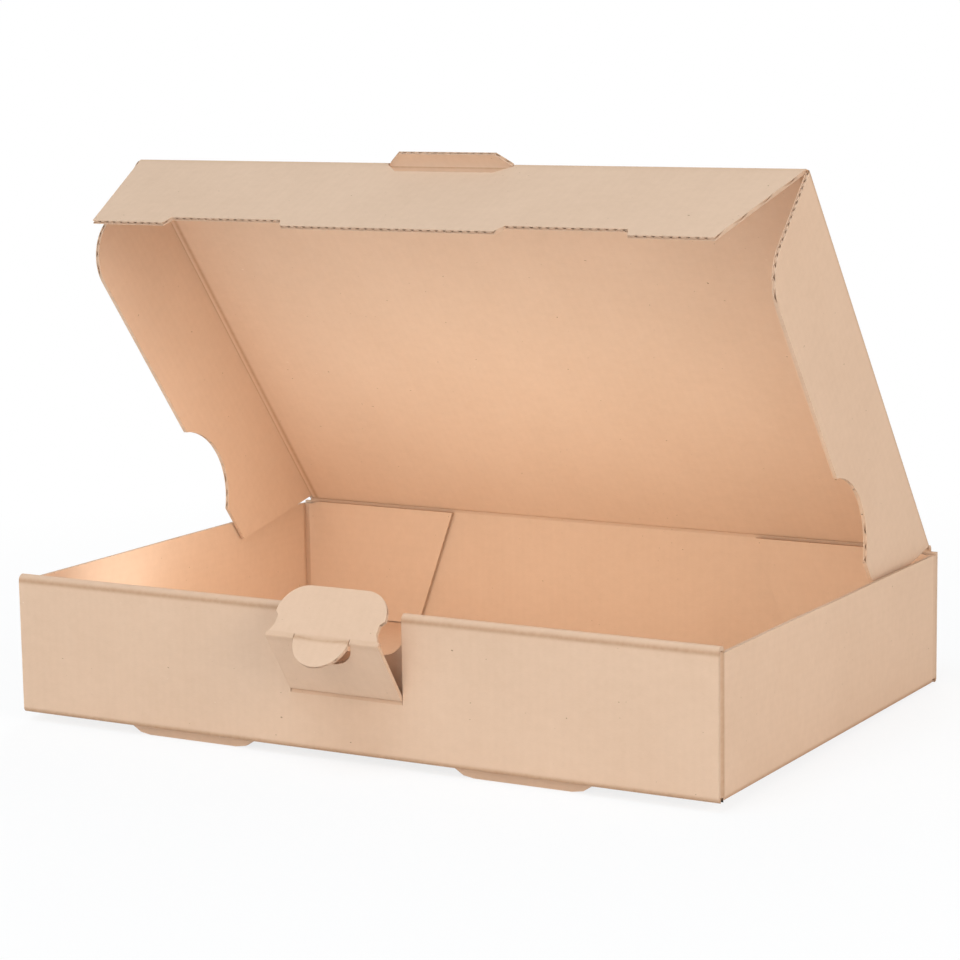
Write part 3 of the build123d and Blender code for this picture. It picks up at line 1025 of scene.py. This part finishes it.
wall_axes = (ALONG_X, UP, FORWARD)
lid_axes = (ALONG_X, lid_ahead, lid_inward)
arm_axes = (ALONG_X, arm_ahead, arm_inward)
lid_angle = math.pi / 2 - LID_OPENING
lid_span = [(-LID_SIDE - HALF, LID_SIDE + HALF)]
flap_spans = [(-FLAP_HALF, -hole_half), (hole_half, FLAP_HALF)]
arm_span = [(-ARM_HALF, ARM_HALF)]
tip_spans = [(-ARM_HALF, -opening_half), (opening_half, ARM_HALF)]
dust_span = [(-DUST_HALF, DUST_HALF)]
dust_angle = math.pi / 2 + DUST_REST
crease("lid_crease", lid_span, lid_hinge, wall_axes, lid_angle, HINGE_REACH)
crease(
    "front_flap_crease", flap_spans, flap_origin, lid_axes, FLAP_FOLD, HINGE_REACH
)
crease("latch_arm_crease", arm_span, latch_hinge, wall_axes, ARM_LEAN, HINGE_REACH)
crease("latch_tip_crease", tip_spans, tip_hinge, arm_axes, TIP_FOLD, HINGE_REACH)
for side, child in ((-1, "dust_flap_left"), (1, "dust_flap_right")):
    corner = np.array([side * SIDE, REAR_DUST_AXIS, DUST_MIDDLE])
    dust_axes = (UP, -FORWARD, -side * ALONG_X)
    crease(f"{child}_crease", dust_span, corner, dust_axes, dust_angle, DUST_HINGE_REACH)


# The stage
# The box stands on its two tabs and its rear edge, so the white floor leans a little in its frame. A white
# surround, five large soft lamps and two weak ones inside the box give the photograph's even light.
FLOOR_REACH = 6000.0
FLOOR_WHITE = (0.93, 0.93, 0.93, 1)
FLOOR_ROUGHNESS = 0.9
PURE_WHITE = (1.0, 1.0, 1.0, 1)
SHADOW_SHARE = 0.25
SHADOW_END = 0.5
SURROUND_TINT = (0.86, 0.93, 1.0, 1)
SURROUND_LEVEL = 0.32
WARM_TINT = (1.0, 0.92, 0.85)
PLAIN_TINT = (1.0, 1.0, 0.93)
COOL_TINT = (0.70, 0.87, 1.0)
MOUTH_TINT = (1.0, 0.99, 0.86)
BOX_MIDDLE = (0, 0, 0.08)
# Each lamp's place, aim, and width and height, in metres, and its power and tint
LAMPS = {
    "front_lamp": ((-0.1, -2.0, 0.45), BOX_MIDDLE, (1.2, 0.9), 4.5, WARM_TINT),
    "high_lamp": ((0, -1.6, 1.2), BOX_MIDDLE, (1.0, 0.8), 7.5, WARM_TINT),
    "side_lamp": ((1.9, -0.7, 0.8), BOX_MIDDLE, (1.0, 1.0), 21, WARM_TINT),
    "top_lamp": ((-0.2, -0.8, 1.8), BOX_MIDDLE, (1.0, 1.0), 15, COOL_TINT),
    "mouth_lamp": ((0.015, -0.078, 0.030), (0.015, 0.1, 0.030), (0.25, 0.044), 0.115, MOUTH_TINT),
    "lid_lamp": ((-0.03, -0.045, 0.03), (-0.03, -0.025, 0.2), (0.22, 0.05), 0.06, COOL_TINT),
    "back_lamp": ((-0.9, 2.2, 1.1), BOX_MIDDLE, (1.2, 1.0), 22, PLAIN_TINT),
}

floor_material = bpy.data.materials.new("studio_floor")
floor_material.use_nodes = True
floor_tree = floor_material.node_tree
floor_shader = floor_tree.nodes["Principled BSDF"]
floor_shader.inputs["Base Color"].default_value = FLOOR_WHITE
floor_shader.inputs["Roughness"].default_value = FLOOR_ROUGHNESS
# The camera sees the floor turn to pure white away from the box, and a part of its shadow close by
floor_paint = Paint(floor_tree)
spot = floor_paint.node("ShaderNodeTexCoord", {}, {}, 3)
away = floor_paint.node("ShaderNodeVectorMath", {"operation": "LENGTH"}, {0: spot}, 1)
floor_seen = floor_paint.node("ShaderNodeLightPath", {}, {})
glow = floor_paint.node("ShaderNodeEmission", {}, {"Color": PURE_WHITE, "Strength": 1.0})
plain = Paint(floor_tree, floor_shader.outputs[0])
white_share = floor_seen * (away.between(0.0, SHADOW_END) * SHADOW_SHARE + (1 - SHADOW_SHARE))
ground = floor_paint.node("ShaderNodeMixShader", {}, {0: white_share, 1: plain, 2: glow})
floor_tree.links.new(ground.socket, floor_tree.nodes["Material Output"].inputs["Surface"])

lean = -TAB_FOOT / (BACK - INNER)
floor_corners = [
    (x * FLOOR_REACH, y * FLOOR_REACH, TAB_FOOT + lean * (y * FLOOR_REACH - INNER))
    for x, y in ((-1, -1), (1, -1), (1, 1), (-1, 1))
]
floor_mesh = bpy.data.meshes.new("floor")
floor_mesh.from_pydata(np.array(floor_corners) * MM, [], [(0, 1, 2, 3)])
floor_mesh.materials.append(floor_material)
floor = bpy.data.objects.new("floor", floor_mesh)
bpy.context.scene.collection.objects.link(floor)

world = bpy.data.worlds.new("studio")
bpy.context.scene.world = world
world.use_nodes = True
sky = Paint(world.node_tree)
sky_seen = sky.node("ShaderNodeLightPath", {}, {})
light = sky.node("ShaderNodeBackground", {}, {"Color": SURROUND_TINT, "Strength": SURROUND_LEVEL})
backdrop = sky.node("ShaderNodeBackground", {}, {"Color": PURE_WHITE, "Strength": 1.0})
surround = sky.node("ShaderNodeMixShader", {}, {0: sky_seen, 1: light, 2: backdrop})
world.node_tree.links.new(surround.socket, world.node_tree.nodes["World Output"].inputs["Surface"])


def lamp(name, place, aim, size, power, tint):
    """A rectangular soft lamp that the camera doesn't see."""
    data = bpy.data.lights.new(name, "AREA")
    data.shape = "RECTANGLE"
    data.size, data.size_y = size
    data.energy = power
    data.color = tint
    made = bpy.data.objects.new(name, data)
    made.location = place
    made.rotation_euler = (Vector(aim) - Vector(place)).to_track_quat("-Z", "Y").to_euler()
    made.visible_camera = False
    bpy.context.scene.collection.objects.link(made)


for name, settings in LAMPS.items():
    lamp(name, *settings)


# The camera
# It stands in front of the box and to its right, a little above the lid's edge, as in the photograph.
CAMERA_PLACE = Vector((0.562107, -0.975497, 0.269727))
CAMERA_SIDE = math.radians(29.998)
CAMERA_RISE = math.radians(9.186)
CAMERA_ROLL = math.radians(-0.904)
CAMERA_LENS = 108.209
CAMERA_SENSOR = 36.0
CAMERA_NEAR = 0.05

camera_data = bpy.data.cameras.new("camera")
camera_data.sensor_width = CAMERA_SENSOR
camera_data.lens = CAMERA_LENS
camera_data.clip_start = CAMERA_NEAR
camera = bpy.data.objects.new("camera", camera_data)
bpy.context.scene.collection.objects.link(camera)
out = math.cos(CAMERA_RISE)
back = Vector((math.sin(CAMERA_SIDE) * out, -math.cos(CAMERA_SIDE) * out, math.sin(CAMERA_RISE)))
level = (-back).cross(Vector((0, 0, 1))).normalized()
upright = level.cross(-back)
to_right = level * math.cos(CAMERA_ROLL) + upright * math.sin(CAMERA_ROLL)
to_top = upright * math.cos(CAMERA_ROLL) - level * math.sin(CAMERA_ROLL)
turned = Matrix((to_right, to_top, back)).transposed().to_4x4()
camera.matrix_world = Matrix.Translation(CAMERA_PLACE) @ turned
bpy.context.scene.camera = camera
bpy.context.scene.view_settings.view_transform = "Standard"
